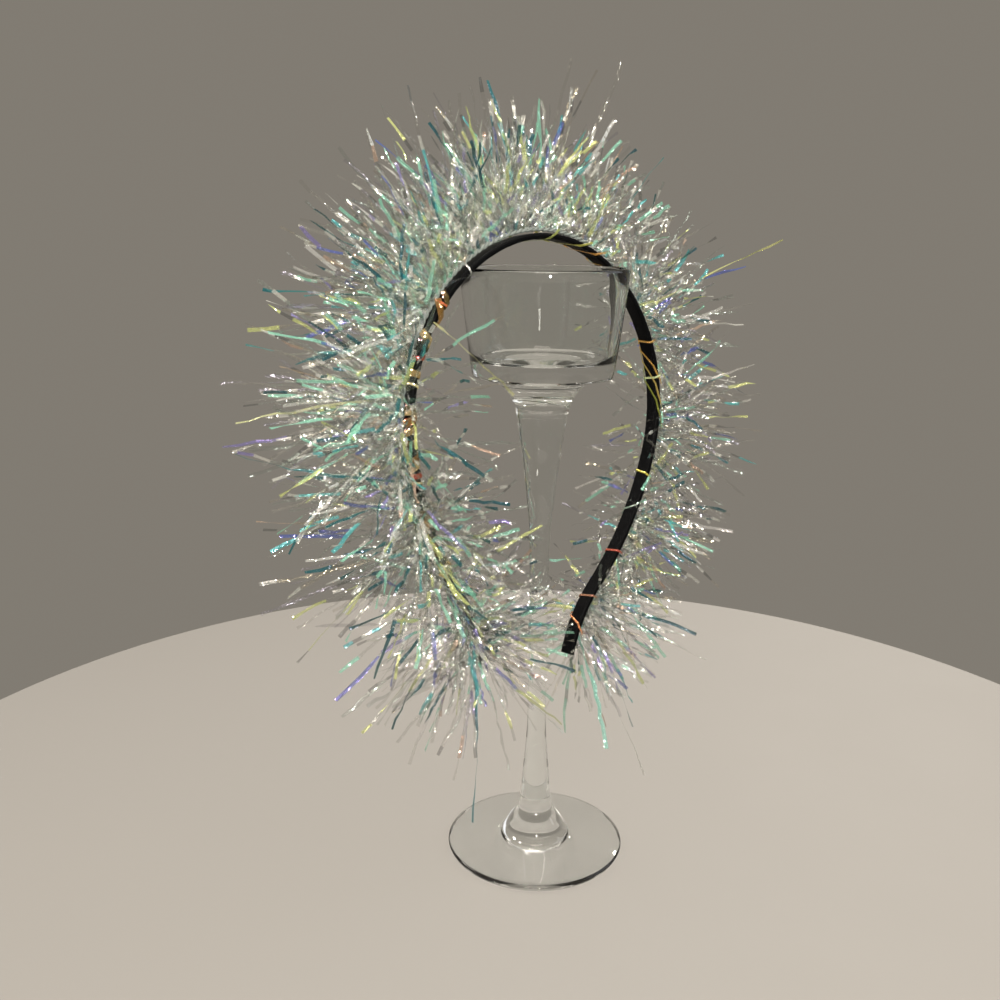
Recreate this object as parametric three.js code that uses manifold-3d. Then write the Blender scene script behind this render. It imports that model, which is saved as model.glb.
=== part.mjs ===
// Garland headband hung over a tall glass tealight stand. Millimetres, +Z up.
// The origin is the middle of the stand's foot. +X runs across the headband, from ear to ear,
// and +Y is the direction its wearer would face away from.
import * as THREE from 'three';
import { mergeVertices } from 'three/addons/utils/BufferGeometryUtils.js';
import Module from 'manifold-3d';

const wasm = await Module();
wasm.setup();

// Stand: turned from solid glass, with a cup at the top.
const STAND_SIDES = 36;
const RIM_RADIUS = 30;
const RIM_HEIGHT = 225.5;
const CUP_FLOOR_HEIGHT = 193.5;
// Outline from the middle of the foot, up the outside, over the rim and down into the cup.
const STAND_OUTLINE = [
  // radius, height
  [0, 0],
  [33.2, 0],
  [34.2, 1.2],
  [33.4, 2.6],
  [24, 3.9],
  [15, 5.2],
  [12.4, 7.2],
  [10.2, 11],
  [7.4, 15],
  [6.2, 19],
  [4.9, 35],
  [3.7, 50],
  [3.5, 66],
  [3.5, 100],
  [3.9, 128],
  [5.2, 142],
  [6.6, 155],
  [7.9, 164],
  [9.5, 175],
  [11.6, 180.5],
  [15.5, 184.8],
  [20.5, 187],
  [24.4, 188.6],
  [25.8, 191.2],
  [RIM_RADIUS, RIM_HEIGHT - 0.9],
  [RIM_RADIUS - 0.5, RIM_HEIGHT],
  [RIM_RADIUS - 1.7, RIM_HEIGHT],
  [RIM_RADIUS - 2.2, RIM_HEIGHT - 0.9],
  [23.8, 196.6],
  [22, 194.2],
  [19, CUP_FLOOR_HEIGHT],
  [0, CUP_FLOOR_HEIGHT],
];

// Headband: a flat springy strip, bent in one plane and hung over the rim of the cup.
const BAND_WIDTH = 6;
const BAND_THICKNESS = 2.2;
const BAND_CHAMFER = 0.6;
const BAND_STEPS = 68;
const BAND_APEX = new THREE.Vector3(7.68, 3.5, 235.52);
const BAND_LEAN = THREE.MathUtils.degToRad(-4.58);
const BAND_ROLL = THREE.MathUtils.degToRad(8);
// Half of the strip, from the middle of the top to an end. The last arc flares outwards.
const BAND_ARCS = [
  // radius, length
  [52.5, 23.6],
  [63.5, 84.6],
  [120, 57.3],
  [-53.8, 28.5],
];
const ARC_STEPS = 12;

// Garland: strips of film in pompoms along a cord on the outside of the strip.
const CORD_RADIUS = 3.5;
const CORD_SIDES = 7;
const CORD_STEPS = 44;
const SEAT_GAP = 0.3;
const CORD_END_MARGIN = 4;
const POMPOM_ROW_STEP = 13;
const POMPOM_ROW_SPLAY = THREE.MathUtils.degToRad(26);
const LOCK_THICKNESS = 1;
const LOCK_ROOT_WIDTH = 0.8;
const LOCK_MIDDLE_WIDTH = 4.2;
const LOCK_TIP_WIDTH = 2.2;
const LOCK_BEND = 5;
const LOCK_SHORTEST = 16;
const STAND_CLEARANCE = 4;
// Pompoms from the end at -X over the top to the end at +X.
const POMPOMS = [
  // along the strip from its middle, reach of the longest locks
  [-174, 52],
  [-135, 55],
  [-96, 57],
  [-57, 57],
  [-19, 55],
  [19, 40],
  [57, 43],
  [96, 43],
  [135, 44],
  [174, 44],
];
// Angles of the locks around the cord, from the side that faces out. The first row of each pompom
// lies between the others, so that it passes the last row of the pompom before.
const FIRST_ROW_ANGLES = [-108, -75, -45, -15, 15, 45, 75, 108];
const OTHER_ROW_ANGLES = [-120, -90, -60, -30, 0, 30, 60, 90, 120];

function glassMaterial() {
  return new THREE.MeshStandardMaterial({ color: 0xe9f1ee, roughness: 0.05, metalness: 0 });
}

function ribbonMaterial() {
  return new THREE.MeshStandardMaterial({ color: 0x0b0b0d, roughness: 0.55, metalness: 0 });
}

function filmMaterial() {
  return new THREE.MeshStandardMaterial({ color: 0xb9d9d2, roughness: 0.15, metalness: 0.1 });
}

function named(name, geometry, material) {
  const mesh = new THREE.Mesh(geometry, material);
  mesh.name = name;
  return mesh;
}

// Middle line of the strip in its own plane, offset outwards by a distance.
function bandLine(offset) {
  const half = [];
  let across = 0;
  let down = 0;
  let heading = 0;
  half.push([across, down, heading]);
  for (const [radius, length] of BAND_ARCS) {
    const step = length / ARC_STEPS;
    for (let i = 0; i < ARC_STEPS; i += 1) {
      const middleHeading = heading + step / radius / 2;
      across += step * Math.cos(middleHeading);
      down += step * Math.sin(middleHeading);
      heading += step / radius;
      half.push([across, down, heading]);
    }
  }
  const right = half.map(([x, z, turn]) => new THREE.Vector3(
    x + offset * Math.sin(turn),
    0,
    -z + offset * Math.cos(turn),
  ));
  const left = right.slice(1).reverse().map((point) => new THREE.Vector3(-point.x, 0, point.z));
  return new THREE.CatmullRomCurve3([...left, ...right]);
}

// The shape's first axis runs across the strip, its second through the thickness.
function bandSection() {
  const halfWidth = BAND_WIDTH / 2;
  const halfThickness = BAND_THICKNESS / 2;
  return new THREE.Shape([
    new THREE.Vector2(-halfWidth + BAND_CHAMFER, -halfThickness),
    new THREE.Vector2(halfWidth - BAND_CHAMFER, -halfThickness),
    new THREE.Vector2(halfWidth, -halfThickness + BAND_CHAMFER),
    new THREE.Vector2(halfWidth, halfThickness - BAND_CHAMFER),
    new THREE.Vector2(halfWidth - BAND_CHAMFER, halfThickness),
    new THREE.Vector2(-halfWidth + BAND_CHAMFER, halfThickness),
    new THREE.Vector2(-halfWidth, halfThickness - BAND_CHAMFER),
    new THREE.Vector2(-halfWidth, -halfThickness + BAND_CHAMFER),
  ]);
}

function roundSection(radius, sides) {
  const points = [];
  for (let i = 0; i < sides; i += 1) {
    const angle = (2 * Math.PI * i) / sides;
    points.push(new THREE.Vector2(radius * Math.cos(angle), radius * Math.sin(angle)));
  }
  return new THREE.Shape(points);
}

function sweep(shape, path, steps) {
  return new THREE.ExtrudeGeometry(shape, { steps, bevelEnabled: false, extrudePath: path });
}

function toManifold(geometry) {
  const bare = geometry.clone();
  bare.deleteAttribute('normal');
  bare.deleteAttribute('uv');
  const merged = mergeVertices(bare, 1e-4);
  return new wasm.Manifold(new wasm.Mesh({
    numProp: 3,
    vertProperties: new Float32Array(merged.attributes.position.array),
    triVerts: new Uint32Array(merged.index.array),
  }));
}

function fromManifold(solid) {
  const mesh = solid.getMesh();
  const geometry = new THREE.BufferGeometry();
  geometry.setAttribute('position', new THREE.BufferAttribute(mesh.vertProperties, 3));
  geometry.setIndex(new THREE.BufferAttribute(mesh.triVerts, 1));
  geometry.computeVertexNormals();
  return geometry;
}

// Outer radius of the stand at a height, with the cup taken as filled.
function standRadius(height) {
  for (let i = 1; i < STAND_OUTLINE.length; i += 1) {
    const [lowRadius, low] = STAND_OUTLINE[i - 1];
    const [highRadius, high] = STAND_OUTLINE[i];
    if (height >= low && height <= high && high > low) {
      return lowRadius + ((highRadius - lowRadius) * (height - low)) / (high - low);
    }
  }
  return 0;
}

function clearOfStand(point) {
  for (const rise of [-STAND_CLEARANCE, 0, STAND_CLEARANCE]) {
    const radius = standRadius(point.z + rise);
    if (radius > 0 && Math.hypot(point.x, point.y) < radius + STAND_CLEARANCE) {
      return false;
    }
  }
  return true;
}

// A lock: a flattened three-sided strip, narrow at its root, curved over its length.
function lockGeometry(root, direction, side, length, bend) {
  const lock = new THREE.CylinderGeometry(1, 1, length, 3, 2);
  const normal = new THREE.Vector3().crossVectors(side, direction);
  const position = lock.attributes.position;
  const point = new THREE.Vector3();
  for (let i = 0; i < position.count; i += 1) {
    const share = position.getY(i) / length + 0.5;
    const rising = THREE.MathUtils.lerp(LOCK_ROOT_WIDTH, LOCK_MIDDLE_WIDTH, share * 2);
    const falling = THREE.MathUtils.lerp(LOCK_MIDDLE_WIDTH, LOCK_TIP_WIDTH, share * 2 - 1);
    const width = share < 0.5 ? rising : falling;
    point.copy(root);
    point.addScaledVector(direction, share * length);
    point.addScaledVector(side, (position.getX(i) * width) / Math.sqrt(3));
    point.addScaledVector(normal, (position.getZ(i) * LOCK_THICKNESS) / 1.5 + bend * share * share);
    position.setXYZ(i, point.x, point.y, point.z);
  }
  return lock;
}

// Placement of the strip and its garland over the rim.
const hung = new THREE.Group();
hung.name = 'hung_headband';
hung.position.copy(BAND_APEX);
hung.rotation.set(BAND_LEAN, BAND_ROLL, 0, 'XYZ');
hung.updateMatrixWorld(true);

function lockLength(root, direction, reach) {
  const point = new THREE.Vector3();
  for (let length = reach; length >= LOCK_SHORTEST; length -= 3) {
    let clear = true;
    for (let share = 0.1; share <= 1; share += 0.1) {
      point.copy(root).addScaledVector(direction, share * length);
      hung.localToWorld(point);
      clear = clear && clearOfStand(point);
    }
    if (clear) {
      return length;
    }
  }
  return 0;
}

function garlandGeometry() {
  const cordOffset = BAND_THICKNESS / 2 + SEAT_GAP + CORD_RADIUS;
  const line = bandLine(cordOffset);
  const middleLine = bandLine(0);
  const half = middleLine.getLength() / 2;
  const endShare = CORD_END_MARGIN / (2 * half);
  const cordPoints = [];
  for (let i = 0; i <= CORD_STEPS; i += 1) {
    cordPoints.push(line.getPointAt(endShare + ((1 - 2 * endShare) * i) / CORD_STEPS));
  }
  const cord = sweep(roundSection(CORD_RADIUS, CORD_SIDES), new THREE.CatmullRomCurve3(cordPoints), CORD_STEPS);
  const solids = [toManifold(cord)];
  const across = new THREE.Vector3(0, 1, 0);
  POMPOMS.forEach(([along, reach], pompom) => {
    for (const row of [-1, 0, 1]) {
      const share = (along + row * POMPOM_ROW_STEP + half) / (2 * half);
      const root = line.getPointAt(share);
      const tangent = line.getTangentAt(share);
      const outward = new THREE.Vector3().crossVectors(tangent, across);
      const angles = row < 0 ? FIRST_ROW_ANGLES : OTHER_ROW_ANGLES;
      angles.forEach((degrees, place) => {
        const angle = THREE.MathUtils.degToRad(degrees);
        const radial = outward.clone().multiplyScalar(Math.cos(angle));
        radial.addScaledVector(across, Math.sin(angle));
        const splay = row * POMPOM_ROW_SPLAY;
        const direction = radial.clone().multiplyScalar(Math.cos(splay));
        direction.addScaledVector(tangent, Math.sin(splay)).normalize();
        const side = new THREE.Vector3().crossVectors(tangent, radial).normalize();
        const variation = 0.86 + 0.14 * Math.cos(2.4 * place + 1.7 * pompom + 3.1 * row);
        const length = lockLength(root, direction, reach * variation);
        if (length > 0) {
          const bend = LOCK_BEND * Math.sin(1.9 * place + 0.8 * pompom + row);
          solids.push(toManifold(lockGeometry(root, direction, side, length, bend)));
        }
      });
    }
  });
  return fromManifold(wasm.Manifold.union(solids));
}

const standPoints = STAND_OUTLINE.map(([radius, height]) => new THREE.Vector2(radius, height));
const standGeometry = new THREE.LatheGeometry(standPoints, STAND_SIDES);
standGeometry.rotateX(Math.PI / 2);

hung.add(named('headband', sweep(bandSection(), bandLine(0), BAND_STEPS), ribbonMaterial()));
hung.add(named('tinsel_garland', garlandGeometry(), filmMaterial()));

const part = new THREE.Group();
part.name = 'garland_headband_on_glass_stand';
part.add(named('glass_stand', standGeometry, glassMaterial()));
part.add(hung);

export default part;
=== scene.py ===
"""Garland headband on a glass stand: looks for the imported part, laid out as a Blender add-on.

Lengths are millimetres in the part's frame and angles are degrees, where a comment doesn't say otherwise.
Meshes are metres. The strip is the headband's own, and film strips are the garland's.
"""
import math

import bpy
import numpy as np
from bpy.props import FloatProperty, FloatVectorProperty, IntProperty, PointerProperty
from mathutils import Matrix, Vector


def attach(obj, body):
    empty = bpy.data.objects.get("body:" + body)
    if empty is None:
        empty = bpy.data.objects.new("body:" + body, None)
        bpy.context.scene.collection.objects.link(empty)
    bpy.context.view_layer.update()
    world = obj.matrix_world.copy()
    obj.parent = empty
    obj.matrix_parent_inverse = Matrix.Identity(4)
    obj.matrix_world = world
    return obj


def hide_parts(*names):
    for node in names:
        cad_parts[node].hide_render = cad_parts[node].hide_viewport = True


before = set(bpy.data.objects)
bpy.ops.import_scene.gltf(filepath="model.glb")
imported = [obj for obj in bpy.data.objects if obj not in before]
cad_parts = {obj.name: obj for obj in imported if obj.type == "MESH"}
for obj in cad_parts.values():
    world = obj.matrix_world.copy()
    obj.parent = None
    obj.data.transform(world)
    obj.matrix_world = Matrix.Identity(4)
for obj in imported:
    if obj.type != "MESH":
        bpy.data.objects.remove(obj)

bl_info = {
    "name": "Garland Headband",
    "version": (1, 0, 0),
    "blender": (4, 5, 0),
    "location": "3D View > Sidebar > Headband",
    "description": "Builds a tinsel garland headband hung on a glass tealight stand",
    "category": "Object",
}

MM = 0.001
# Edges sharper than this stay crisp on a smooth piece.
SHARP_ANGLE = math.radians(40)

# Turned outline of the stand, from the middle of the foot over the rim into the cup.
STAND_OUTLINE = (
    # radius, height
    (0, 0),
    (33.2, 0),
    (34.2, 1.2),
    (33.4, 2.6),
    (24, 3.9),
    (15, 5.2),
    (12.4, 7.2),
    (10.2, 11),
    (7.4, 15),
    (6.2, 19),
    (4.9, 35),
    (3.7, 50),
    (3.5, 66),
    (3.5, 100),
    (3.9, 128),
    (5.2, 142),
    (6.6, 155),
    (7.9, 164),
    (9.5, 175),
    (11.6, 180.5),
    (15.5, 184.8),
    (20.5, 187),
    (24.4, 188.6),
    (25.8, 191.2),
    (30, 224.6),
    (29.5, 225.5),
    (28.3, 225.5),
    (27.8, 224.6),
    (23.8, 196.6),
    (22, 194.2),
    (19, 193.5),
    (0, 193.5),
)
# First and last rows of the outline's smooth stretches: the outside, the rim and the inside of the cup.
SMOOTH_STRETCHES = ((1, 24), (24, 27), (27, 30))
RIM_ROW = 25
STAND_SIDES = 96

# Half of the headband's strip, from the middle of the top to an end.
BAND_ARCS = (
    # radius, length
    (52.5, 23.6),
    (63.5, 84.6),
    (120, 57.3),
    (-53.8, 28.5),
)
BAND_HALF = sum(length for radius, length in BAND_ARCS)
BAND_WIDTH = 6.0
BAND_THICKNESS = 2.2
BAND_CORNER = 0.8
BAND_CORNER_POINTS = 5
BAND_RINGS = 420
# Where the strip's top hangs over the rim, and how it leans and rolls there.
BAND_APEX = (7.68, 3.5, 235.52)
BAND_LEAN = math.radians(-4.58)
BAND_ROLL = math.radians(8)
# Each turn of the ribbon overlaps the one before with a small step, which is lower at the strip's edges.
RIBBON_PITCH = 9.0
RIBBON_STEP = 0.14
RIBBON_EDGE_SHARE = 0.4

# Two-ply thread of the garland.
CORD_OFFSET = 2.5
CORD_END_MARGIN = 3
CORD_RINGS = 400
PLY_RADIUS = 0.5
PLY_OFFSET = 0.48
PLY_LAY = 5
PLY_SIDES = 8

# Pompoms of the garland, from the end at -X over the top to the end at +X.
POMPOMS = (
    # along the strip from its middle, reach of the longest film strips, fullness
    (-174, 54, 1.0),
    (-135, 57, 1.0),
    (-96, 59, 1.05),
    (-57, 59, 1.1),
    (-19, 54, 1.1),
    (19, 40, 0.6),
    (57, 45, 0.55),
    (96, 45, 0.65),
    (135, 46, 0.75),
    (174, 46, 0.75),
)
# How film strips scatter along the strip round the middle of their pompom.
POMPOM_SCATTER = 9.5
POMPOM_HALF = 21
FILM_END_MARGIN = 4
# Over the cup the film strips stand up, and down the arms they lean further round the strip.
FILM_LEAN = (
    # along the strip, usual lean either way, widest lean
    (-130, 80, 165),
    (-85, 58, 150),
    (-45, 42, 98),
    (45, 40, 98),
    (90, 60, 155),
)
# Beside the cup's rim few film strips cross the strip's edge at -Y.
LOW_Y_LEAN = (
    # along the strip, share of the lean towards -Y
    (-95, 1.0),
    (-65, 0.5),
    (-20, 0.6),
    (30, 0.8),
    (60, 1.0),
)
# Low on the arm at -X the garland has rolled round to the strip's edge at -Y.
GARLAND_ROLL = (
    # along the strip, angle round it
    (-160, -85),
    (-105, 0),
)
WIDEST_TURN = 165
# Film strips slant away from the middle of their pompom, by an angle for each millimetre and by chance.
SLANT_PER_MM = 1.5
SLANT_SCATTER = 22
WIDEST_SLANT = 75
# Lengths, as shares of the pompom's reach: the least, and the two values of the beta curve over it.
LEAST_LENGTH = 0.36
LENGTH_CURVE = (1.8, 2.0)
# Film strips that turn in past the edge of the strip are shorter, and so are those that point sideways.
INWARD_ANGLE = 96
INWARD_LENGTH = 0.72
SIDEWAYS_LOSS = 0.12
# Roots of the film strips: on the thread, or for those that turn inwards beside the strip's edge.
THREAD_ROOT = 0.4
EDGE_ROOT_GAP = 0.6
EDGE_ROOT_RISE = 0.9
# Film strips low on the arms stand in the shade of those above them.
FILM_SHADE = (
    # along the strip, share of the tint
    (-180, 0.6),
    (-130, 0.82),
    (-80, 0.95),
    (20, 0.93),
    (80, 0.8),
    (180, 0.7),
)

# One film strip: its bends and twist by chance, and its crumpled surface.
TINSEL_SEED = 41
STRIP_SEGMENTS = 12
FILM_BEND = 4.0
FILM_SAG = 2.0
FILM_WIDTHS = (0.7, 1.1)
FILM_RIDGE = 0.1
FILM_KINK = 0.22
# Twist from root to tip and crumple from station to station, in radians.
FILM_TWIST = 1.8
FILM_CRUMPLE = 0.4
# Film strips stop this far from the stand, tried in small steps, and those left too short are dropped.
STAND_CLEARANCE = 1.5
CLEARANCE_STEPS = 20
SHORTEST_STRIP = 7.0

# Tints of the film: most of a film strip is clear, and a stretch of some flashes a colour.
CLEAR_TINTS = (
    # hex colour, share, opacity
    ("#D9DAD2", 0.46, 0.12),
    ("#C0D0C8", 0.26, 0.14),
    ("#BAB6CA", 0.14, 0.14),
    ("#D5CCB2", 0.14, 0.13),
)
FLASH_TINTS = (
    # hex colour, share, opacity
    ("#126C74", 0.16, 0.66),
    ("#4FC4C6", 0.10, 0.47),
    ("#A4F0D6", 0.22, 0.42),
    ("#E6F29E", 0.18, 0.42),
    ("#4A68BC", 0.05, 0.42),
    ("#9C96DC", 0.05, 0.36),
    ("#CFB49C", 0.07, 0.36),
    ("#FAFCF8", 0.16, 0.36),
)
FLASH_SHARE = 0.58
FLASH_AT_TIP = 0.5
FLASH_LEAST_SEGMENTS = 2
FLASH_MOST_SEGMENTS = 6
# Painted reflections on short stretches all along the film strips: a dark tint paints a dim reflection, and
# a white one paints a glint.
PAINTED_REFLECTION_TINTS = (
    # hex colour, share, opacity
    ("#4F5A58", 0.45, 0.24),
    ("#F8FCF4", 0.55, 0.34),
)
PAINTED_REFLECTION_SHARE = 0.13

# Long single film strips that stand out from the rest.
LOOSE_STRIPS = (
    # along the strip, angle round it, slant along it, length, hex colour, opacity
    (-66, -129, -20, 40, "#CFD09C", 0.40),
    (52, -36, -3, 56, "#DDE29A", 0.50),
    (-186, -41, -62, 57, "#2F8A98", 0.70),
    (186, -80, 49, 41, "#8CCFC0", 0.45),
    (186, -36, 41, 47, "#C9CDC8", 0.35),
    (180, -26, 34, 51, "#7FA0A8", 0.40),
    (-58, 46, -26, 62, "#15757B", 0.75),
    (-92, 40, -8, 54, "#DDE3AE", 0.42),
    (-8, 20, -6, 56, "#1C7780", 0.70),
    (-118, 36, 12, 58, "#1B7F84", 0.75),
)

# Film strips that bind the garland to the headband, crossing its inner face.
BINDINGS = (
    # along the strip, slant across it, hex colour
    (-120, 3.0, "#D9C98C"),
    (-104, -3.5, "#D8B070"),
    (-88, 2.5, "#E4DCA8"),
    (-72, 4.0, "#D9C98C"),
    (-58, -2.5, "#E08050"),
    (-44, 2.0, "#A9AFA8"),
    (-10, 20.0, "#93A052"),
    (4, 24.0, "#A9A84C"),
    (13, 20.0, "#B98A3E"),
    (24, 15.0, "#C39C48"),
    (63, 2.0, "#C9A050"),
    (70, 24.0, "#C8A24C"),
    (76, 34.0, "#B9A858"),
    (78, -1.5, "#D9E6B0"),
    (83, 30.0, "#8E9A3C"),
    (116, 3.0, "#D8D060"),
    (131, -9.0, "#8FA79A"),
    (150, -2.0, "#C0604A"),
    (171, -3.0, "#A87C60"),
    (181, 9.0, "#E09A62"),
)
BINDING_HALF_WIDTH = 0.4
BINDING_OPACITY = 0.7
# Closer turns on the arm at -X, where the film lies tight round the strip.
TURN_SEED = 17
TIGHT_TURNS = 26
TIGHT_TURN_RANGE = (-150, -60)
TIGHT_TURN_SLANT = 6
TIGHT_TURN_HALF_WIDTHS = (0.5, 1.7)
TIGHT_TURN_COLOURS = ("#8F6E34", "#5F5628", "#A8935A", "#A84A28", "#3E4630", "#B9A878")
# Turns lie in layers over the strip, so that crossing turns don't share a face.
TURN_LIFT = 0.16
TURN_LAYER = 0.04
TURN_LAYERS = 5
# Where a turn bends round the strip's edge, and how its ends tuck into the garland.
TURN_TUCK = 1.0
TURN_TUCK_RISE = 1.6
TURN_EDGE_DROP = 0.4
TURN_CORNER = 0.6
TURN_BELLY = 0.04

# Floor disc, a hair under the foot.
FLOOR_RADIUS = 300.0
FLOOR_HEIGHT = -0.3
FLOOR_SIDES = 128

# Studio lights, in metres and watts.
BACKDROP_COLOUR = "#8F897F"
LIGHT_TARGET = (0, 0, 0.17)
STUDIO_LAMPS = (
    # name, place, size, power, hex colour
    ("key", (-0.45, -0.55, 0.95), 0.45, 1.9, "#FFF4E6"),
    ("fill", (0.7, -0.35, 0.6), 0.6, 1.1, "#F2F6FF"),
    ("back", (-0.35, 0.8, 0.85), 0.35, 1.9, "#FFF8EE"),
)
# Small lamps round the stage that the film flashes back.
SPARK_LAMPS = (
    # x, y, z
    (-0.20, -0.70, 0.75),
    (0.45, -0.60, 0.85),
    (-0.75, 0.10, 0.70),
    (0.10, 0.20, 1.00),
    (0.75, 0.25, 0.55),
    (-0.45, -0.65, 0.35),
)
SPARK_SIZE = 0.04
SPARK_POWER = 3.3
SPARK_COLOUR = "#FFF9EE"

# Camera, with its place in metres.
CAMERA_PLACE = (-0.252, -0.2771, 0.2403)
CAMERA_HEADING = math.radians(40)
CAMERA_PITCH = math.radians(14.76)
CAMERA_ROLL = math.radians(0.46)
CAMERA_LENS = 37.82
CAMERA_SENSOR = 36.0
CAMERA_CLIP = 0.01


def linear(hex_colour):
    """Linear red, green and blue of an sRGB hex colour."""
    values = [int(hex_colour[i:i + 2], 16) / 255 for i in (1, 3, 5)]
    return tuple(v / 12.92 if v <= 0.04045 else ((v + 0.055) / 1.055) ** 2.4 for v in values)


class GarlandSizes(bpy.types.PropertyGroup):
    """Sizes, counts and colours that a user would change."""

    strips_per_pompom: IntProperty(
        name="Strips in a pompom",
        description="Film strips that stand out of each pompom of the garland",
        default=335,
        min=50,
    )
    strip_width: FloatProperty(
        name="Strip width",
        description="Width of a film strip",
        default=1.3 * MM,
        unit="LENGTH",
    )
    glass_colour: FloatVectorProperty(
        name="Glass",
        description="Tint of the stand's glass",
        subtype="COLOR",
        default=linear("#FBFDFC"),
    )
    ribbon_colour: FloatVectorProperty(
        name="Ribbon",
        description="Colour of the headband's ribbon",
        subtype="COLOR",
        default=linear("#040405"),
    )
    floor_colour: FloatVectorProperty(
        name="Floor",
        description="Colour of the floor",
        subtype="COLOR",
        default=linear("#8E8B88"),
    )


def sizes():
    """The scene's own sizes, counts and colours."""
    return bpy.context.scene.garland_sizes


def add_node(tree, kind, settings=None, links=None):
    """Adds a node, sets its values by socket or property name, and links its inputs."""
    node = tree.nodes.new(kind)
    for name, value in (settings or {}).items():
        if name in node.inputs:
            node.inputs[name].default_value = value
        else:
            setattr(node, name, value)
    for name, source in (links or {}).items():
        tree.links.new(source, node.inputs[name])
    return node


def new_material(name):
    """A material with an empty node tree, and the tree."""
    material = bpy.data.materials.new(name)
    material.use_nodes = True
    tree = material.node_tree
    tree.nodes.clear()
    return material, tree


def finish_material(tree, shader):
    """Links a shader to an output of its own."""
    add_node(tree, "ShaderNodeOutputMaterial", links={"Surface": shader.outputs[0]})


def soda_lime_glass():
    """Pressed soda-lime glass: clear with the faintest green, and slightly wavy, so reflections bend."""
    material, tree = new_material("pressed soda-lime glass")
    ripple_size = 14 * MM
    place = add_node(tree, "ShaderNodeTexCoord")
    ripple = add_node(
        tree,
        "ShaderNodeTexNoise",
        {"Scale": 1 / ripple_size, "Detail": 1.0},
        {"Vector": place.outputs["Object"]},
    )
    bump = add_node(
        tree,
        "ShaderNodeBump",
        {"Strength": 0.12, "Distance": 0.3 * MM},
        {"Height": ripple.outputs[0]},
    )
    shader = add_node(
        tree,
        "ShaderNodeBsdfPrincipled",
        {
            "Base Color": (*sizes().glass_colour, 1),
            "Roughness": 0.01,
            "IOR": 1.51,
            "Transmission Weight": 1.0,
        },
        {"Normal": bump.outputs[0]},
    )
    finish_material(tree, shader)
    return material


def satin_ribbon():
    """Black polyester satin wound on the strip: near black, with a low sheen and a fine thread line."""
    material, tree = new_material("black polyester satin")
    # Threads of 0.3 mm are drawn 1 mm apart along the strip, because finer ones don't show in the render.
    thread_pitch = 1.0
    # A diagonal wave runs through ten radians for each unit along the strip.
    wave_rate = 10
    worn_patch = 9
    place = add_node(tree, "ShaderNodeUVMap", {"uv_map": "strip"})
    threads = add_node(
        tree,
        "ShaderNodeTexWave",
        {
            "Scale": 2 * math.pi / wave_rate / thread_pitch,
            "Distortion": 1.5,
            "Detail": 1.0,
            "bands_direction": "DIAGONAL",
        },
        {"Vector": place.outputs[0]},
    )
    wear = add_node(
        tree,
        "ShaderNodeTexNoise",
        {"Scale": 1 / worn_patch, "Detail": 3.0},
        {"Vector": place.outputs[0]},
    )
    rough = add_node(
        tree,
        "ShaderNodeMapRange",
        {"To Min": 0.38, "To Max": 0.62},
        {"Value": wear.outputs[0]},
    )
    tone = add_node(tree, "ShaderNodeValToRGB", links={"Fac": wear.outputs[0]})
    for element, share in zip(tone.color_ramp.elements, (0.7, 1.5)):
        element.color = (*(share * value for value in sizes().ribbon_colour), 1)
    bump = add_node(
        tree,
        "ShaderNodeBump",
        {"Strength": 0.25, "Distance": 0.1 * MM},
        {"Height": threads.outputs[0]},
    )
    shader = add_node(
        tree,
        "ShaderNodeBsdfPrincipled",
        {"IOR": 1.45, "Specular IOR Level": 0.06, "Sheen Weight": 0.01, "Sheen Roughness": 0.4},
        {
            "Base Color": tone.outputs[0],
            "Roughness": rough.outputs[0],
            "Normal": bump.outputs[0],
        },
    )
    finish_material(tree, shader)
    return material


def iridescent_film(name):
    """Slit polypropylene film, iridescent and crinkled: clear, with small bright flashes off its creases,
    and with the painted glints and painted dark reflections that its tint attribute carries.
    """
    material, tree = new_material(name)
    crinkle_size = 1.3 * MM
    tint = add_node(tree, "ShaderNodeAttribute", {"attribute_name": "film_tint"})
    place = add_node(tree, "ShaderNodeTexCoord")
    crinkle = add_node(
        tree,
        "ShaderNodeTexNoise",
        {"Scale": 1 / crinkle_size, "Detail": 0.0},
        {"Vector": place.outputs["Object"]},
    )
    bump = add_node(
        tree,
        "ShaderNodeBump",
        {"Strength": 1.0, "Distance": 0.22 * MM},
        {"Height": crinkle.outputs[0]},
    )
    # Clear film only mirrors, and its coloured stretches also glow with scattered light.
    mirror = add_node(
        tree,
        "ShaderNodeMapRange",
        {"From Min": 0.2, "From Max": 0.4, "To Min": 0.97, "To Max": 0.5},
        {"Value": tint.outputs["Alpha"]},
    )
    shader = add_node(
        tree,
        "ShaderNodeBsdfPrincipled",
        {
            "Roughness": 0.08,
            "IOR": 1.6,
            "Thin Film Thickness": 420.0,
            "Thin Film IOR": 1.9,
        },
        {
            "Base Color": tint.outputs["Color"],
            "Alpha": tint.outputs["Alpha"],
            "Metallic": mirror.outputs[0],
            "Normal": bump.outputs[0],
        },
    )
    finish_material(tree, shader)
    return material


def twisted_thread():
    """Pale polyester thread that the film is spun into: matt, with fine ply lines."""
    material, tree = new_material("pale polyester thread")
    fibre_size = 1.2 * MM
    place = add_node(tree, "ShaderNodeTexCoord")
    fibres = add_node(
        tree,
        "ShaderNodeTexNoise",
        {"Scale": 1 / fibre_size, "Detail": 2.0},
        {"Vector": place.outputs["Object"]},
    )
    tone = add_node(tree, "ShaderNodeValToRGB", links={"Fac": fibres.outputs[0]})
    for element, colour in zip(tone.color_ramp.elements, ("#59615E", "#8C948F")):
        element.color = (*linear(colour), 1)
    shader = add_node(
        tree,
        "ShaderNodeBsdfPrincipled",
        {"Roughness": 0.6, "IOR": 1.5},
        {"Base Color": tone.outputs[0]},
    )
    finish_material(tree, shader)
    return material


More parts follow.
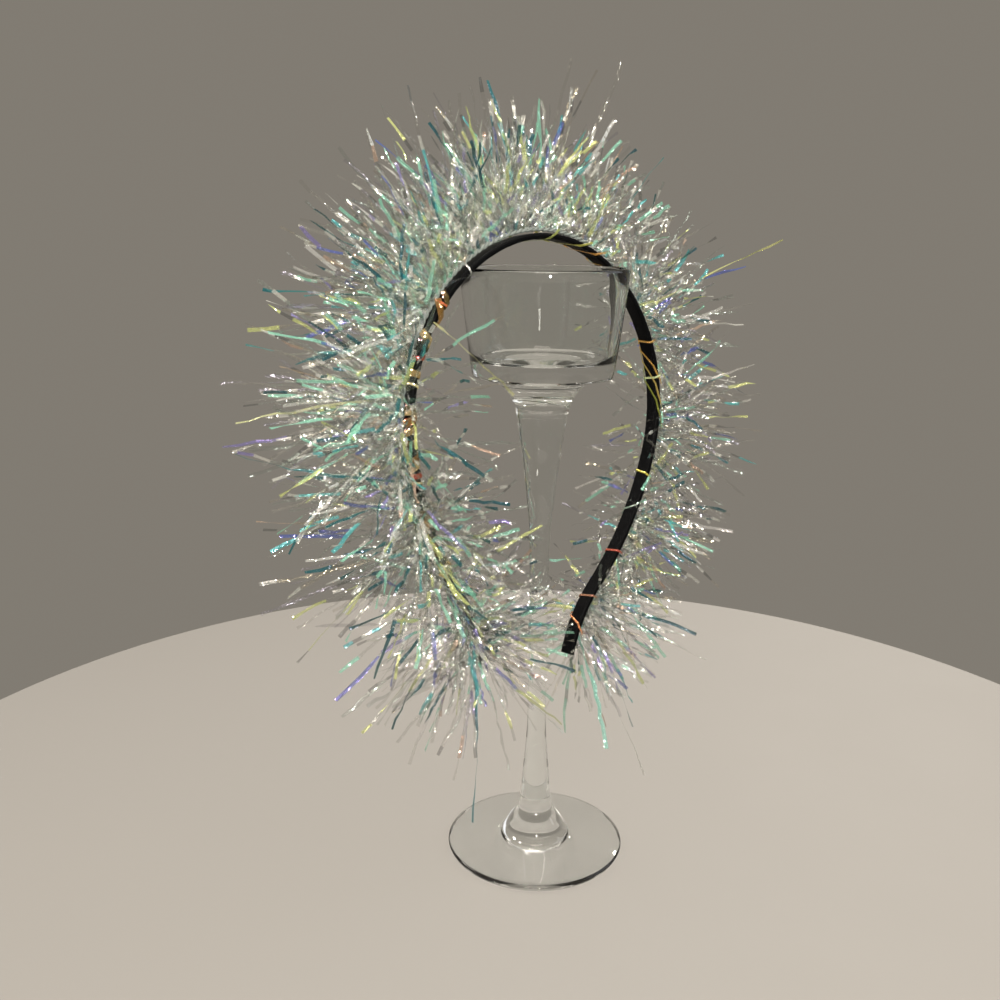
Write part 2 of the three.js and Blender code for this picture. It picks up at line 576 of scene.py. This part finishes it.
def floor_paint():
    """Matt pale paint of the floor, with a very faint mottle in its gloss."""
    material, tree = new_material("matt pale floor paint")
    mottle_size = 60 * MM
    place = add_node(tree, "ShaderNodeTexCoord")
    mottle = add_node(
        tree,
        "ShaderNodeTexNoise",
        {"Scale": 1 / mottle_size, "Detail": 4.0},
        {"Vector": place.outputs["Object"]},
    )
    rough = add_node(
        tree,
        "ShaderNodeMapRange",
        {"To Min": 0.65, "To Max": 0.8},
        {"Value": mottle.outputs[0]},
    )
    shader = add_node(
        tree,
        "ShaderNodeBsdfPrincipled",
        {"Base Color": (*sizes().floor_colour, 1), "IOR": 1.45},
        {"Roughness": rough.outputs[0]},
    )
    finish_material(tree, shader)
    return material


def mesh_object(name, points, faces, material, smooth=False):
    """A mesh object from points in millimetres and a list of faces."""
    mesh = bpy.data.meshes.new(name)
    corners = [[int(corner) for corner in face] for face in faces]
    mesh.from_pydata((np.asarray(points) * MM).tolist(), [], corners)
    mesh.validate()
    if smooth:
        mesh.shade_smooth()
        mesh.set_sharp_from_angle(angle=SHARP_ANGLE)
    mesh.materials.append(material)
    made = bpy.data.objects.new(name, mesh)
    bpy.context.scene.collection.objects.link(made)
    return made


def hang(points):
    """Points in the strip's own plane, moved to where it hangs over the rim."""
    x, y, z = np.moveaxis(np.asarray(points, float), -1, 0)
    turned_x = math.cos(BAND_ROLL) * x + math.sin(BAND_ROLL) * z
    turned_z = -math.sin(BAND_ROLL) * x + math.cos(BAND_ROLL) * z
    leaned_y = math.cos(BAND_LEAN) * y - math.sin(BAND_LEAN) * turned_z
    leaned_z = math.sin(BAND_LEAN) * y + math.cos(BAND_LEAN) * turned_z
    return np.stack([turned_x, leaned_y, leaned_z], -1) + np.array(BAND_APEX)


def strip_line(along):
    """Points of the strip's middle at distances from its top, with the ways across, outward and along."""
    along = np.asarray(along, float)
    left = np.abs(along)
    zero = np.zeros_like(left)
    sideways = zero
    down = zero
    heading = zero
    start = 0.0
    for radius, length in BAND_ARCS:
        turn = np.clip(left - start, 0, length) / radius
        sideways = sideways + radius * (np.sin(heading + turn) - np.sin(heading))
        down = down + radius * (np.cos(heading) - np.cos(heading + turn))
        heading = heading + turn
        start += length
    heading = heading * np.sign(along)
    points = np.stack([sideways * np.sign(along), zero, -down], -1)
    across = np.stack([zero, np.ones_like(zero), zero], -1)
    outward = np.stack([np.sin(heading), zero, np.cos(heading)], -1)
    tangents = np.stack([np.cos(heading), zero, -np.sin(heading)], -1)
    return points, across, outward, tangents


def along_table(along, table, column=1):
    """A column's values at places along the strip, blended between the table's rows."""
    rows = np.array(table, float)
    return np.interp(along, rows[:, 0], rows[:, column])


def unit(vectors):
    """Vectors at a length of 1."""
    return vectors / np.linalg.norm(vectors, axis=-1, keepdims=True)


def square_to(vectors, runs):
    """What of vectors stands square to unit vectors, at a length of 1."""
    return unit(vectors - (vectors * runs).sum(-1, keepdims=True) * runs)


def circle(radius, height, sides):
    """Points of a level circle round the stand's axis."""
    angles = [2 * math.pi * side / sides for side in range(sides)]
    return [(radius * math.cos(angle), radius * math.sin(angle), height) for angle in angles]


def curve_point(before, first, second, after, share):
    """A point between two rows of an outline, on a smooth curve through them and their neighbours."""
    cubic = -0.5 * before + 1.5 * first - 1.5 * second + 0.5 * after
    square = before - 2.5 * first + 2 * second - 0.5 * after
    slope = 0.5 * (second - before)
    return ((cubic * share + square) * share + slope) * share + first


def lathe_rows():
    """The stand's outline without its two middle points, cut finer by smooth curves."""
    rows = np.array(STAND_OUTLINE, float)
    fine = [rows[1]]
    for start, stop in SMOOTH_STRETCHES:
        for row in range(start, stop):
            before = rows[max(row - 1, start)]
            after = rows[min(row + 2, stop)]
            for share in (0.25, 0.5, 0.75, 1.0):
                fine.append(curve_point(before, rows[row], rows[row + 1], after, share))
    return fine


def swept(line, across, outward, section):
    """Rings of a section swept along a line. The section's columns are across and outward."""
    sideways = section[..., :1] * across[:, None, :]
    upward = section[..., 1:] * outward[:, None, :]
    return line[:, None, :] + sideways + upward


def ring_faces(ring_count, side_count):
    """Faces of a closed swept form, with flat ends."""
    faces = []
    for ring in range(ring_count - 1):
        low = ring * side_count
        high = low + side_count
        for side in range(side_count):
            after = (side + 1) % side_count
            faces.append((low + side, low + after, high + after, high + side))
    last = (ring_count - 1) * side_count
    faces.append(tuple(range(side_count))[::-1])
    faces.append(tuple(range(last, last + side_count)))
    return faces


class HEADBAND_OT_glass_stand(bpy.types.Operator):
    """Builds the turned glass stand"""

    bl_idname = "headband.glass_stand"
    bl_label = "Glass Stand"

    def execute(self, context):
        rows = lathe_rows()
        points = []
        for radius, height in rows:
            points += circle(radius, height, STAND_SIDES)
        faces = ring_faces(len(rows), STAND_SIDES)
        stand = mesh_object("glass_stand_clear", points, faces, soda_lime_glass(), smooth=True)
        # Clear glass lets nearly all light through to what stands under it.
        stand.visible_shadow = False
        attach(stand, "root")
        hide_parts("glass_stand")
        return {"FINISHED"}


def band_section():
    """Round the strip's section, with rounded corners. The columns are across and outward."""
    section = []
    corner_step = 90 / (BAND_CORNER_POINTS - 1)
    for across_sign, out_sign, first in ((1, 1, 0), (-1, 1, 90), (-1, -1, 180), (1, -1, 270)):
        for step in range(BAND_CORNER_POINTS):
            angle = math.radians(first + corner_step * step)
            section.append((
                across_sign * (BAND_WIDTH / 2 - BAND_CORNER) + BAND_CORNER * math.cos(angle),
                out_sign * (BAND_THICKNESS / 2 - BAND_CORNER) + BAND_CORNER * math.sin(angle),
            ))
    return np.array(section)


class HEADBAND_OT_band(bpy.types.Operator):
    """Builds the ribbon-wound strip of the headband"""

    bl_idname = "headband.band"
    bl_label = "Headband Strip"

    def execute(self, context):
        section = band_section()
        side_count = len(section)
        along = np.linspace(-BAND_HALF, BAND_HALF, BAND_RINGS)
        lap = (along[:, None] / RIBBON_PITCH + np.arange(side_count) / side_count) % 1.0
        grow = 1 - RIBBON_STEP / BAND_THICKNESS * lap
        wound = section * np.stack([1 - (1 - grow) * RIBBON_EDGE_SHARE, grow], -1)
        line, across, outward = strip_line(along)[:3]
        points = hang(swept(line, across, outward, wound)).reshape(-1, 3)
        faces = [face[::-1] for face in ring_faces(BAND_RINGS, side_count)]
        band = mesh_object("black_headband", points, faces, satin_ribbon(), smooth=True)
        # The ribbon's pattern is laid out in millimetres along the strip and round it.
        girth = np.concatenate([[0], np.cumsum(np.linalg.norm(np.diff(section, axis=0), axis=1))])
        corners = np.empty(len(band.data.loops), int)
        band.data.loops.foreach_get("vertex_index", corners)
        places = np.stack([along[corners // side_count], girth[corners % side_count]], -1)
        coordinates = band.data.uv_layers.new(name="strip")
        coordinates.data.foreach_set("uv", places.ravel())
        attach(band, "root")
        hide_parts("headband")
        return {"FINISHED"}


class HEADBAND_OT_cord(bpy.types.Operator):
    """Builds the twisted thread that holds the film strips"""

    bl_idname = "headband.cord"
    bl_label = "Garland Thread"

    def execute(self, context):
        end = BAND_HALF - CORD_END_MARGIN
        along = np.linspace(-end, end, CORD_RINGS)
        line, across, outward = strip_line(along)[:3]
        section = np.array(circle(PLY_RADIUS, 0, PLY_SIDES))[:, :2]
        points = []
        faces = []
        for ply in (0, 1):
            lay = along * 2 * math.pi / PLY_LAY + ply * math.pi
            middle = line + (CORD_OFFSET + PLY_OFFSET * np.cos(lay))[:, None] * outward
            middle = middle + (PLY_OFFSET * np.sin(lay))[:, None] * across
            first = len(points)
            for face in ring_faces(CORD_RINGS, PLY_SIDES):
                faces.append(tuple(first + corner for corner in face)[::-1])
            points += hang(swept(middle, across, outward, section)).reshape(-1, 3).tolist()
        thread = mesh_object("garland_thread", points, faces, twisted_thread(), smooth=True)
        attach(thread, "root")
        return {"FINISHED"}


def stand_radius(height):
    """Outer radius of the stand at heights, with the cup taken as filled, and 0 above the rim."""
    outer = np.array(STAND_OUTLINE[1:RIM_ROW + 1], float)
    return np.interp(height, outer[:, 1], outer[:, 0], right=0.0)


def bent_line(roots, directions, lengths, bends, runs):
    """Points of many film strips at distances from their roots: straight at first, then bent."""
    bent = (runs / lengths[:, None]) ** 2
    straight = roots[:, None, :] + runs[..., None] * directions[:, None, :]
    return straight + bent[..., None] * bends[:, None, :]


def clear_reach(roots, directions, lengths, bends):
    """How far each film strip runs before it comes near the stand."""
    shares = np.linspace(0, 1, CLEARANCE_STEPS + 1)
    trial = bent_line(roots, directions, lengths, bends, shares * lengths[:, None])
    radius = np.hypot(trial[..., 0], trial[..., 1])
    near = np.zeros(radius.shape, bool)
    for rise in (-STAND_CLEARANCE, 0.0, STAND_CLEARANCE):
        limit = stand_radius(trial[..., 2] + rise)
        near |= (limit > 0) & (radius < limit + STAND_CLEARANCE)
    last = np.where(near.any(1), np.argmax(near, axis=1) - 1, CLEARANCE_STEPS)
    return lengths * shares[np.maximum(last, 0)]


def film_corners(middle, runs, sides, half_widths):
    """Three corners of film strips at points along them: the two edges, and a low ridge on the face."""
    edges = half_widths * sides
    ridge = FILM_RIDGE * np.cross(runs, sides)
    return np.stack([middle + edges, middle - edges, middle + ridge], axis=-2)


def film_strips(roots, directions, lengths, bends, twists, widths, chance):
    """Corners of film strips, by strip, station and corner, and which strips are long enough to keep."""
    count = len(roots)
    shares = np.linspace(0, 1, STRIP_SEGMENTS + 1)
    reach = clear_reach(roots, directions, lengths, bends)
    kept = reach > SHORTEST_STRIP
    # The root stays on the thread, and kinks grow to full size over the first third.
    kinks = chance.normal(0, FILM_KINK, (count, len(shares), 3))
    kinks = kinks * np.minimum(shares * 3, 1)[None, :, None]
    middle = bent_line(roots, directions, lengths, bends, shares * reach[:, None]) + kinks
    runs = unit(np.gradient(middle, axis=1))
    flat = square_to(chance.normal(size=(count, 1, 3)), runs)
    crumple = np.cumsum(chance.normal(0, FILM_CRUMPLE, (count, len(shares))), axis=1)
    turn = (twists[:, None] * shares + crumple)[..., None]
    sides = np.cos(turn) * flat + np.sin(turn) * np.cross(runs, flat)
    corners = film_corners(middle, runs, sides, widths[:, None, None] / 2)
    return corners[kept], kept


def strip_mesh(name, corners, tints, material):
    """One mesh of many three-sided film strips, with a tint and opacity for each segment."""
    count, stations, sides = corners.shape[:3]
    starts = np.arange(count)[:, None] * stations * sides
    side = np.arange(sides)
    after = (side + 1) % sides
    low = starts[:, :, None] + np.arange(stations - 1)[None, :, None] * sides
    high = low + sides
    quads = np.stack([low + side, low + after, high + after, high + side], axis=-1).reshape(-1, 4)
    root_ends = starts + side[::-1]
    tip_ends = starts + (stations - 1) * sides + side
    triangles = np.concatenate([root_ends, tip_ends])
    mesh = bpy.data.meshes.new(name)
    mesh.vertices.add(count * stations * sides)
    mesh.vertices.foreach_set("co", (corners.reshape(-1, 3) * MM).ravel())
    mesh.loops.add(quads.size + triangles.size)
    mesh.loops.foreach_set("vertex_index", np.concatenate([quads.ravel(), triangles.ravel()]))
    mesh.polygons.add(len(quads) + len(triangles))
    quad_starts = np.arange(len(quads)) * 4
    triangle_starts = quads.size + np.arange(len(triangles)) * 3
    mesh.polygons.foreach_set("loop_start", np.concatenate([quad_starts, triangle_starts]))
    mesh.update(calc_edges=True)
    mesh.shade_flat()
    quad_tints = np.repeat(tints.reshape(-1, 4), sides * 4, axis=0)
    root_tints = np.repeat(tints[:, 0], sides, axis=0)
    tip_tints = np.repeat(tints[:, -1], sides, axis=0)
    layer = mesh.attributes.new("film_tint", "FLOAT_COLOR", "CORNER")
    layer.data.foreach_set("color", np.concatenate([quad_tints, root_tints, tip_tints]).ravel())
    mesh.materials.append(material)
    made = bpy.data.objects.new(name, mesh)
    bpy.context.scene.collection.objects.link(made)
    return made


def pick_tints(table, count, chance):
    """Tints with their opacity, picked from a table by share."""
    tints = np.array([(*linear(colour), opacity) for colour, share, opacity in table])
    shares = np.array([share for colour, share, opacity in table])
    return tints[chance.choice(len(tints), count, p=shares / shares.sum())]


def film_tints(count, chance):
    """A tint for each segment of each film strip: clear, with a coloured stretch on some, and painted glints
    and painted dark reflections on short stretches.
    """
    clear = pick_tints(CLEAR_TINTS, count, chance)
    tints = np.repeat(clear[:, None, :], STRIP_SEGMENTS, axis=1)
    flash = pick_tints(FLASH_TINTS, count, chance)
    at_tip = chance.random(count) < FLASH_AT_TIP
    anywhere = chance.integers(1, STRIP_SEGMENTS + 1, count)
    stop = np.where(at_tip, STRIP_SEGMENTS, anywhere)
    start = stop - chance.integers(FLASH_LEAST_SEGMENTS, FLASH_MOST_SEGMENTS + 1, count)
    segment = np.arange(STRIP_SEGMENTS)[None, :]
    lit = (segment >= start[:, None]) & (segment < stop[:, None])
    lit &= (chance.random(count) < FLASH_SHARE)[:, None]
    tints = np.where(lit[..., None], flash[:, None, :], tints)
    # Some short stretches take a painted white glint, others a painted dark reflection, in place of their
    # tint.
    painted_reflections = pick_tints(PAINTED_REFLECTION_TINTS, count * STRIP_SEGMENTS, chance).reshape(tints.shape)
    painted_reflection_mask = chance.random((count, STRIP_SEGMENTS, 1)) < PAINTED_REFLECTION_SHARE
    return np.where(painted_reflection_mask, painted_reflections, tints)


def pompom_strips(chance):
    """The pompoms' film strips: places along the strip, angles round it, slants, lengths and tints."""
    counts = [round(sizes().strips_per_pompom * fullness) for along, reach, fullness in POMPOMS]
    count = sum(counts)
    rows = np.repeat(np.array(POMPOMS, float), counts, axis=0)
    offset = np.clip(chance.normal(0, POMPOM_SCATTER, count), -POMPOM_HALF, POMPOM_HALF)
    end = BAND_HALF - FILM_END_MARGIN
    along = np.clip(rows[:, 0] + offset, -end, end)
    usual = along_table(along, FILM_LEAN, 1)
    widest = along_table(along, FILM_LEAN, 2)
    lean = np.clip(chance.normal(0, 1, count) * usual, -widest, widest)
    lean = np.where(lean < 0, lean * along_table(along, LOW_Y_LEAN), lean)
    around = np.clip(along_table(along, GARLAND_ROLL) + lean, -WIDEST_TURN, WIDEST_TURN)
    slant = offset * SLANT_PER_MM + chance.normal(0, SLANT_SCATTER, count)
    slant = np.clip(slant, -WIDEST_SLANT, WIDEST_SLANT)
    share = LEAST_LENGTH + (1 - LEAST_LENGTH) * chance.beta(*LENGTH_CURVE, count)
    share = share * np.where(np.abs(around) > INWARD_ANGLE, INWARD_LENGTH, 1.0)
    share = share * (1 - SIDEWAYS_LOSS * np.abs(np.sin(np.radians(around))))
    tints = film_tints(count, chance)
    tints[..., :3] *= along_table(along, FILM_SHADE)[:, None, None]
    return along, around, slant, rows[:, 1] * share, tints


def film_roots(along, around, slant):
    """Where film strips start and which way they point. Both angles are in radians."""
    line, across, outward, tangents = strip_line(along)
    radial = np.cos(around)[:, None] * outward + np.sin(around)[:, None] * across
    directions = np.cos(slant)[:, None] * radial + np.sin(slant)[:, None] * tangents
    on_thread = line + CORD_OFFSET * outward + THREAD_ROOT * radial
    edge = np.sign(around)[:, None] * (BAND_WIDTH / 2 + EDGE_ROOT_GAP)
    beside = line + EDGE_ROOT_RISE * outward + edge * across
    inward = np.abs(around) > math.radians(INWARD_ANGLE)
    roots = np.where(inward[:, None], beside, on_thread)
    return hang(roots), hang(directions) - np.array(BAND_APEX)


class HEADBAND_OT_tinsel(bpy.types.Operator):
    """Builds the garland's film strips, pompom by pompom"""

    bl_idname = "headband.tinsel"
    bl_label = "Tinsel Strips"

    def execute(self, context):
        chance = np.random.default_rng(TINSEL_SEED)
        along, around, slant, lengths, tints = pompom_strips(chance)
        loose = np.array([row[:4] for row in LOOSE_STRIPS], float)
        loose_tints = np.array([(*linear(row[4]), row[5]) for row in LOOSE_STRIPS])
        along = np.concatenate([along, loose[:, 0]])
        around = np.radians(np.concatenate([around, loose[:, 1]]))
        slant = np.radians(np.concatenate([slant, loose[:, 2]]))
        lengths = np.concatenate([lengths, loose[:, 3]])
        tints = np.concatenate([tints, np.repeat(loose_tints[:, None, :], STRIP_SEGMENTS, axis=1)])
        count = len(along)
        roots, directions = film_roots(along, around, slant)
        bends = chance.normal(0, FILM_BEND, (count, 3))
        bends[:, 2] -= FILM_SAG
        twists = chance.normal(0, FILM_TWIST, count)
        widths = sizes().strip_width / MM * chance.uniform(*FILM_WIDTHS, count)
        corners, kept = film_strips(roots, directions, lengths, bends, twists, widths, chance)
        tints = tints[kept]
        low_x = corners[:, 0, 0, 0] < 0
        film = iridescent_film("slit iridescent polypropylene film")
        for name, chosen in (("tinsel_strips_low_x", low_x), ("tinsel_strips_high_x", ~low_x)):
            strips = strip_mesh(name, corners[chosen], tints[chosen], film)
            # Clear film throws next to no shadow.
            strips.visible_shadow = False
            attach(strips, "root")
            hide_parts("tinsel_garland")
        return {"FINISHED"}


def turn_path():
    """Path of a turn round the strip: over one edge, the inner face and the other edge."""
    half_width = BAND_WIDTH / 2
    half_thickness = BAND_THICKNESS / 2
    half_path = (
        # across, outward
        (half_width - TURN_TUCK, half_thickness + TURN_TUCK_RISE),
        (half_width, half_thickness - TURN_EDGE_DROP),
        (half_width, -half_thickness + TURN_CORNER),
        (half_width - TURN_CORNER, -half_thickness),
    )
    belly = (0, -half_thickness - TURN_BELLY)
    mirrored = [(-across, out) for across, out in reversed(half_path)]
    return np.array([*half_path, belly, *mirrored])


def turn_rows():
    """Places, slants, half widths and colours of the turns that bind the garland to the headband."""
    chance = np.random.default_rng(TURN_SEED)
    rows = [(along, slant, BINDING_HALF_WIDTH, colour) for along, slant, colour in BINDINGS]
    tight = np.sort(chance.uniform(*TIGHT_TURN_RANGE, TIGHT_TURNS))
    for number, along in enumerate(tight):
        slant = chance.normal(0, TIGHT_TURN_SLANT)
        half_width = chance.uniform(*TIGHT_TURN_HALF_WIDTHS)
        rows.append((along, slant, half_width, TIGHT_TURN_COLOURS[number % len(TIGHT_TURN_COLOURS)]))
    return rows


class HEADBAND_OT_bindings(bpy.types.Operator):
    """Builds the film strips that bind the garland to the headband"""

    bl_idname = "headband.bindings"
    bl_label = "Binding Strips"

    def execute(self, context):
        path = turn_path()
        reach = np.linspace(-0.5, 0.5, len(path))
        corners = []
        tints = []
        for number, (along, slant, half_width, colour) in enumerate(turn_rows()):
            line, across, outward, tangents = strip_line(along + slant * reach)
            lifted = path + np.sign(path) * (TURN_LIFT + TURN_LAYER * (number % TURN_LAYERS))
            middle = line + lifted[:, :1] * across + lifted[:, 1:] * outward
            runs = unit(np.gradient(middle, axis=0))
            # Sides point against the strip's run, so that the ridge faces away from the strip.
            sides = -square_to(tangents, runs)
            corners.append(hang(film_corners(middle, runs, sides, half_width)))
            tints.append(np.tile((*linear(colour), BINDING_OPACITY), (len(path) - 1, 1)))
        film = iridescent_film("iridescent film, binding strips")
        strips = strip_mesh("binding_strips", np.array(corners), np.array(tints), film)
        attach(strips, "root")
        return {"FINISHED"}


def studio_world():
    """A plain studio, brighter overhead than it is behind the object."""
    world = bpy.data.worlds.new("studio")
    world.use_nodes = True
    tree = world.node_tree
    backdrop = tree.nodes["Background"]
    backdrop.inputs["Color"].default_value = (*linear(BACKDROP_COLOUR), 1)
    sky = add_node(tree, "ShaderNodeTexCoord")
    height = add_node(tree, "ShaderNodeSeparateXYZ", links={"Vector": sky.outputs["Generated"]})
    glow = add_node(
        tree,
        "ShaderNodeMapRange",
        {"From Min": 0.3, "From Max": 0.8, "To Min": 0.8, "To Max": 1.8},
        {"Value": height.outputs["Z"]},
    )
    tree.links.new(glow.outputs[0], backdrop.inputs["Strength"])
    return world


def area_light(name, place, size, power, colour):
    """A square area light that faces the object."""
    light = bpy.data.lights.new(name, "AREA")
    light.size = size
    light.energy = power
    light.color = linear(colour)
    lamp = bpy.data.objects.new(name, light)
    lamp.location = place
    lamp.rotation_euler = (Vector(LIGHT_TARGET) - Vector(place)).to_track_quat("-Z", "Y").to_euler()
    bpy.context.scene.collection.objects.link(lamp)
    return light


def studio_camera():
    """A camera that looks down on the object from its near side, at -X and -Y."""
    camera = bpy.data.cameras.new("camera")
    camera.sensor_width = CAMERA_SENSOR
    camera.lens = CAMERA_LENS
    camera.clip_start = CAMERA_CLIP
    look = Vector((
        math.sin(CAMERA_HEADING) * math.cos(CAMERA_PITCH),
        math.cos(CAMERA_HEADING) * math.cos(CAMERA_PITCH),
        -math.sin(CAMERA_PITCH),
    ))
    turn = look.to_track_quat("-Z", "Y").to_matrix() @ Matrix.Rotation(CAMERA_ROLL, 3, "Z")
    viewer = bpy.data.objects.new("camera", camera)
    viewer.matrix_world = Matrix.Translation(CAMERA_PLACE) @ turn.to_4x4()
    bpy.context.scene.collection.objects.link(viewer)
    return viewer


class HEADBAND_OT_stage(bpy.types.Operator):
    """Builds the floor, the studio light and the camera"""

    bl_idname = "headband.stage"
    bl_label = "Stage"

    def execute(self, context):
        scene = context.scene
        points = circle(FLOOR_RADIUS, FLOOR_HEIGHT, FLOOR_SIDES)
        floor = mesh_object("floor", points, [range(FLOOR_SIDES)], floor_paint())
        scene.world = studio_world()
        scene.view_settings.view_transform = "Standard"
        scene.cycles.transparent_max_bounces = 36
        scene.cycles.diffuse_bounces = 2
        scene.cycles.max_bounces = 20
        scene.cycles.transmission_bounces = 20
        scene.cycles.caustics_refractive = False
        scene.cycles.caustics_reflective = False
        for lamp in STUDIO_LAMPS:
            area_light(*lamp)
        for number, place in enumerate(SPARK_LAMPS):
            spark = area_light("spark_%d" % number, place, SPARK_SIZE, SPARK_POWER, SPARK_COLOUR)
            spark.use_shadow = False
        scene.camera = studio_camera()
        return {"FINISHED"}


class HEADBAND_PT_panel(bpy.types.Panel):
    """Lists the pieces and the values to change"""

    bl_idname = "HEADBAND_PT_panel"
    bl_label = "Garland Headband"
    bl_space_type = "VIEW_3D"
    bl_region_type = "UI"
    bl_category = "Headband"

    def draw(self, context):
        for name in GarlandSizes.__annotations__:
            self.layout.prop(context.scene.garland_sizes, name)
        for operator in OPERATORS:
            self.layout.operator(operator.bl_idname)


OPERATORS = (
    HEADBAND_OT_stage,
    HEADBAND_OT_glass_stand,
    HEADBAND_OT_band,
    HEADBAND_OT_cord,
    HEADBAND_OT_tinsel,
    HEADBAND_OT_bindings,
)
CLASSES = (GarlandSizes, *OPERATORS, HEADBAND_PT_panel)


def register():
    """Registers the classes and gives the scene its sizes."""
    for kind in CLASSES:
        bpy.utils.register_class(kind)
    bpy.types.Scene.garland_sizes = PointerProperty(type=GarlandSizes)


def unregister():
    """Takes away what register adds."""
    del bpy.types.Scene.garland_sizes
    for kind in reversed(CLASSES):
        bpy.utils.unregister_class(kind)


def main():
    """Builds every piece."""
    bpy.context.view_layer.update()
    register()
    bpy.ops.headband.stage()
    bpy.ops.headband.glass_stand()
    bpy.ops.headband.band()
    bpy.ops.headband.cord()
    bpy.ops.headband.tinsel()
    bpy.ops.headband.bindings()


if __name__ == "__main__":
    main()
